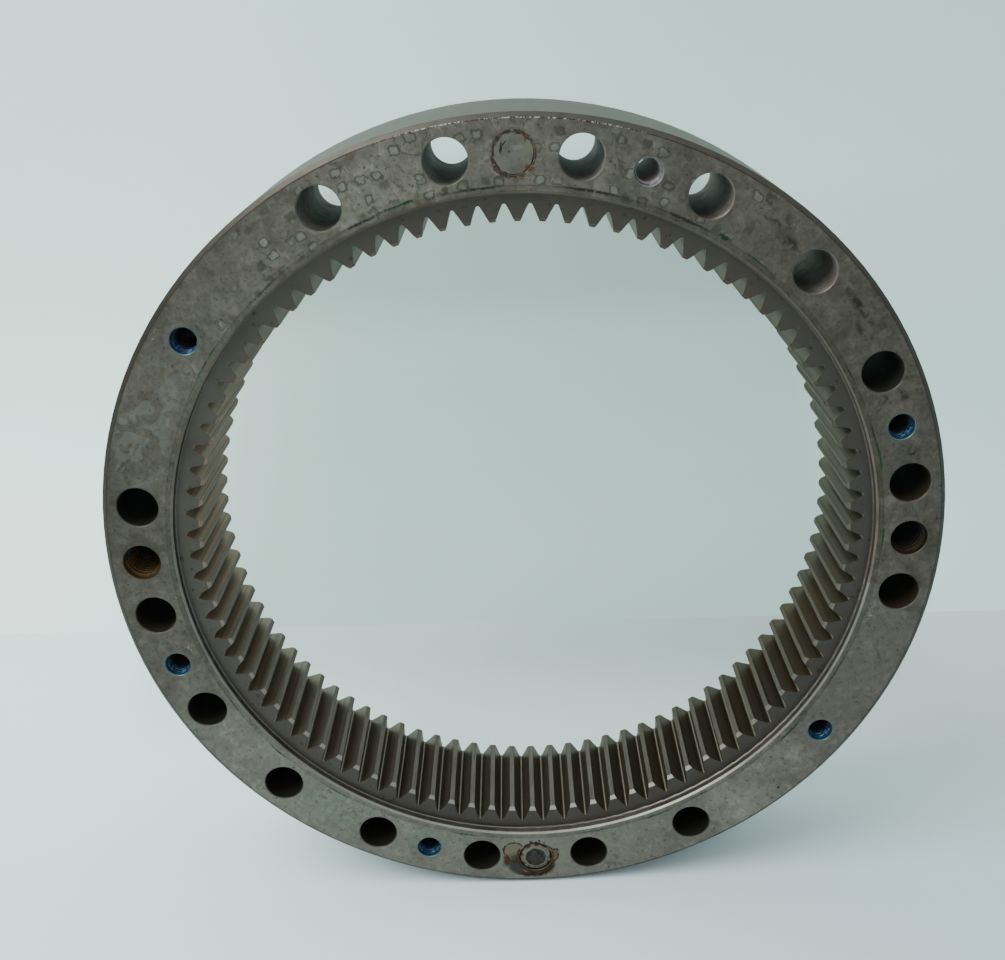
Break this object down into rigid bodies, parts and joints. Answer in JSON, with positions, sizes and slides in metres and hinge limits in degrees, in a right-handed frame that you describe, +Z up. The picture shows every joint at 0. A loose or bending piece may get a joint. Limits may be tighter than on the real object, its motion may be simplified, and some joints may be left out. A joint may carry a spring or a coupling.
{
  "type": "internal ring gear",
  "caption": "Wide one-piece steel ring with internal spur teeth, plain bolt holes and tapped holes round its rim, a shallow register at each face and two flush locating pins.",
  "frame": {"origin": "centre of the ring, half way between its two faces", "axes": "+Y along the gear's axis, away from the face that the picture shows; +Z up through the top locating pin; +X towards the right-hand large tapped hole, seen from the front"},
  "size_m": [0.456, 0.0764, 0.456],
  "materials": {
    "ring_steel": "worn machined steel, oily grey-brown, with water stains, dashes of old sealant and rust at some holes",
    "top_pin_steel": "ground flush, with a line of rust round the edge",
    "bottom_pin_steel": "bright tapered rim round a dark stained end"
  },
  "bodies": {
    "root": {"ring_gear": "ring_steel", "top_locating_pin": "top_pin_steel", "bottom_locating_pin": "bottom_pin_steel"}
  },
  "joints": []
}
